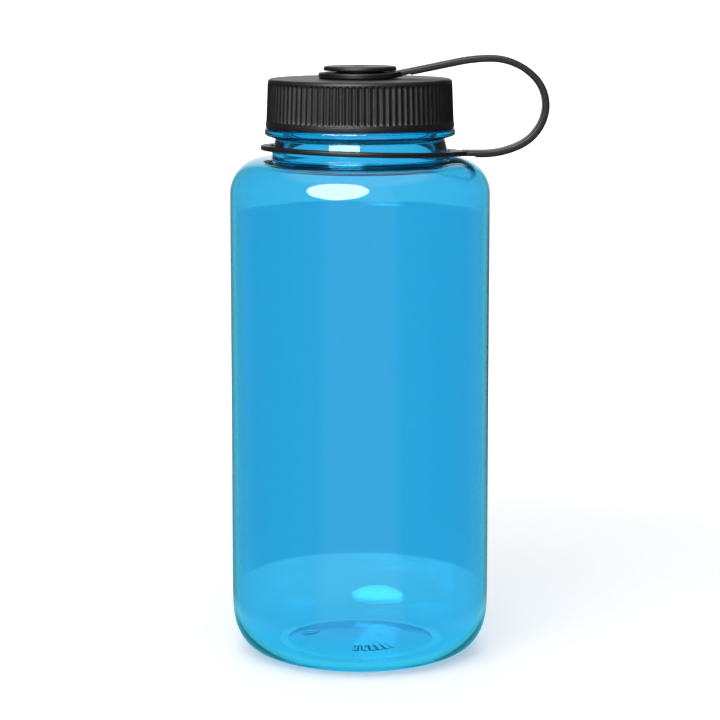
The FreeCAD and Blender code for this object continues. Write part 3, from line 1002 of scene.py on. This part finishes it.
def floor_material(studio):
    """Matt white that lifts to pure white where no shadow falls, and keeps the shadow's shape.

    Seen through the clear plastic it is plain white. Mirrored, it glows with the room's light for its place
    round the bottle. Near the bottle it glows with painted light: a blue glow that stands in for the light
    the plastic throws on it.
    """
    glow_whole, glow_end = 1.3 * BODY_BOX[1][0], 2.3 * BODY_BOX[1][0]
    material = bpy.data.materials.new("floor_white")
    material.use_nodes = True
    tree = material.node_tree
    tree.nodes.remove(tree.nodes["Principled BSDF"])
    rays = tree.nodes.new("ShaderNodeLightPath")
    matt = tree.nodes.new("ShaderNodeBsdfDiffuse")
    matt.inputs["Color"].default_value = (*[studio.floor_white] * 3, 1)
    place = tree.nodes.new("ShaderNodeTexCoord").outputs["Object"]
    away = tree.nodes.new("ShaderNodeVectorMath")
    away.operation = "LENGTH"
    tree.links.new(place, away.inputs[0])
    far = ramp(tree, away.outputs["Value"], studio.lift_radius / 3, studio.lift_radius)
    lift = tree.nodes.new("ShaderNodeEmission")
    lifted = blend_values(tree, far, studio.near_lift, 1.0)
    strength = math_node(tree, "MULTIPLY", rays.outputs["Is Camera Ray"], lifted)
    tree.links.new(strength, lift.inputs["Strength"])
    both = tree.nodes.new("ShaderNodeAddShader")
    tree.links.new(matt.outputs[0], both.inputs[0])
    tree.links.new(lift.outputs[0], both.inputs[1])
    # Painted light: in reflections the floor is an emission, the room's light away from the bottle and a
    # painted blue glow near it.
    plain = tree.nodes.new("ShaderNodeEmission")
    outside_glow = ramp(tree, away.outputs["Value"], glow_whole, glow_end)
    near = math_node(tree, "SUBTRACT", 1.0, outside_glow)
    whole = math_node(tree, "MAXIMUM", rays.outputs["Is Transmission Ray"], near)
    brightness = blend_values(tree, whole, wall_light(tree, place, studio), 1.0)
    tree.links.new(brightness, plain.inputs["Strength"])
    mirrored = math_node(tree, "SUBTRACT", 1.0, rays.outputs["Is Transmission Ray"])
    painted_glow_share = math_node(tree, "MULTIPLY", near, mirrored)
    glow = mix_colours(tree, painted_glow_share, (1.0, 1.0, 1.0), tuple(studio.painted_blue_glow))
    tree.links.new(glow, plain.inputs["Color"])
    bent = math_node(tree, "MAXIMUM", rays.outputs["Is Glossy Ray"], rays.outputs["Is Transmission Ray"])
    either = tree.nodes.new("ShaderNodeMixShader")
    tree.links.new(bent, either.inputs[0])
    tree.links.new(both.outputs[0], either.inputs[1])
    tree.links.new(plain.outputs[0], either.inputs[2])
    tree.links.new(either.outputs[0], tree.nodes["Material Output"].inputs["Surface"])
    return material


def studio_world(studio):
    """A world that is pure white where it is seen, and a studio to the bottle.

    The studio has a white wall behind, a bright ceiling, a soft front and dim sides.
    """
    world = bpy.data.worlds.new("studio_white")
    bpy.context.scene.world = world
    world.use_nodes = True
    tree = world.node_tree
    background = tree.nodes["Background"]
    background.inputs["Color"].default_value = (1, 1, 1, 1)
    direction = tree.nodes.new("ShaderNodeTexCoord").outputs["Generated"]
    axes = tree.nodes.new("ShaderNodeSeparateXYZ")
    tree.links.new(direction, axes.inputs[0])
    wall = wall_light(tree, direction, studio)
    room = blend_values(tree, ramp(tree, axes.outputs["Z"], 0.7, 0.9), wall, studio.overhead)
    rays = tree.nodes.new("ShaderNodeLightPath")
    seen = math_node(tree, "MAXIMUM", rays.outputs["Is Camera Ray"], rays.outputs["Is Transmission Ray"])
    tree.links.new(blend_values(tree, seen, room, 1.0), background.inputs["Strength"])


def softbox_place(studio, target):
    """Where the softbox hangs in front, and its turn so that it faces the target."""
    azimuth, elevation = studio.key_azimuth, studio.key_elevation
    back = np.array((
        math.sin(azimuth) * math.cos(elevation),
        -math.cos(azimuth) * math.cos(elevation),
        math.sin(elevation),
    ))
    return target + back * studio.key_distance, (math.pi / 2 - elevation, 0, azimuth)


def add_softbox(studio, place, facing):
    """The lamp that lights matt surfaces."""
    lamp = bpy.data.lights.new("key_softbox", "AREA")
    lamp.energy = studio.key_power
    lamp.size = studio.key_size
    holder = bpy.data.objects.new("key_softbox", lamp)
    bpy.context.scene.collection.objects.link(holder)
    holder.location, holder.rotation_euler = place, facing
    holder.visible_glossy = False
    holder.visible_transmission = False


def add_softbox_face(studio, place, facing):
    """The softbox's round bright face, which shows only in reflections and through the clear plastic."""
    sides = 48
    angles = turn(sides)
    corners = studio.key_size / 2 * np.stack((np.cos(angles), np.sin(angles), 0 * angles), 1)
    lean, _, azimuth = facing
    corners = turned(turned(corners, 0, lean), 2, azimuth) + place
    face = new_piece("softbox_face", corners, [tuple(range(sides))])
    material = bpy.data.materials.new("softbox_glow")
    material.use_nodes = True
    tree = material.node_tree
    tree.nodes.remove(tree.nodes["Principled BSDF"])
    glow = tree.nodes.new("ShaderNodeEmission")
    glow.inputs["Strength"].default_value = studio.glint
    tree.links.new(glow.outputs[0], tree.nodes["Material Output"].inputs["Surface"])
    face.data.materials.append(material)
    face.visible_camera = False
    face.visible_diffuse = False
    face.visible_shadow = False


class BOTTLE_OT_stage(bpy.types.Operator):
    """Set up the floor, the lamps, the world and the camera"""

    bl_idname = "bottle.stage"
    bl_label = "Stage"

    def execute(self, context):
        studio = context.scene.bottle_studio
        context.scene.view_settings.view_transform = "Standard"
        outline = np.array(((0, 0), (0.4, 0), (2, 0), (studio.floor_radius, 0)))[::-1]
        grid = lathe(outline, turn(96))
        rows, columns = grid.shape[:2]
        index = np.arange(rows * columns).reshape(rows, columns)
        right = np.roll(index, -1, 1)
        quads = np.stack((index[:-2], right[:-2], right[1:-1], index[1:-1]), 2).reshape(-1, 4)
        middle = np.stack((index[-2], right[-2], np.full(columns, index[-1, 0])), 1)
        floor = new_piece("studio_floor", grid.reshape(-1, 3), quads.tolist() + middle.tolist())
        floor.data.materials.append(floor_material(studio))
        studio_world(studio)
        middle_of_bottle = np.array((0, 0, 0.1))
        place, facing = softbox_place(studio, middle_of_bottle)
        add_softbox(studio, place, facing)
        add_softbox_face(studio, place, facing)
        camera = bpy.data.objects.new("camera", bpy.data.cameras.new("camera"))
        context.scene.collection.objects.link(camera)
        camera.data.sensor_width = 36.0
        camera.data.lens = studio.lens
        camera.location = (0, -studio.distance, studio.height)
        camera.rotation_euler = (math.pi / 2 - studio.pitch, 0, 0)
        context.scene.camera = camera
        return {"FINISHED"}


class BOTTLE_PT_panel(bpy.types.Panel):
    """Lists the bottle's sizes and the operators that build it"""

    bl_idname = "BOTTLE_PT_panel"
    bl_label = "Wide-Mouth Bottle"
    bl_space_type = "VIEW_3D"
    bl_region_type = "UI"
    bl_category = "Bottle"

    def draw(self, context):
        for group in GROUPS:
            box = self.layout.box()
            settings = getattr(context.scene, group)
            for label in settings.bl_rna.properties.keys():
                if label not in ("rna_type", "name"):
                    box.prop(settings, label)
        for operator in OPERATORS:
            self.layout.operator(operator.bl_idname)


GROUPS = {
    "bottle_sizes": BottleSizes,
    "bottle_cap": CapSizes,
    "bottle_tether": TetherSizes,
    "bottle_finishes": Finishes,
    "bottle_studio": Studio,
}
OPERATORS = (
    BOTTLE_OT_materials,
    BOTTLE_OT_body,
    BOTTLE_OT_cap,
    BOTTLE_OT_seal,
    BOTTLE_OT_button,
    BOTTLE_OT_rings,
    BOTTLE_OT_strap,
    BOTTLE_OT_stage,
)


def register():
    """Register the classes and hang the property groups on the scene."""
    for group in (*GROUPS.values(), *OPERATORS, BOTTLE_PT_panel):
        bpy.utils.register_class(group)
    for name, group in GROUPS.items():
        setattr(bpy.types.Scene, name, bpy.props.PointerProperty(type=group))


def unregister():
    """Undo register in the opposite order."""
    for name in GROUPS:
        delattr(bpy.types.Scene, name)
    for group in reversed((*GROUPS.values(), *OPERATORS, BOTTLE_PT_panel)):
        bpy.utils.unregister_class(group)


def main():
    """Build everything in order."""
    register()
    bpy.ops.bottle.materials()
    bpy.ops.bottle.body()
    bpy.ops.bottle.cap()
    bpy.ops.bottle.seal()
    bpy.ops.bottle.button()
    bpy.ops.bottle.rings()
    bpy.ops.bottle.strap()
    bpy.ops.bottle.stage()


if __name__ == "__main__":
    main()
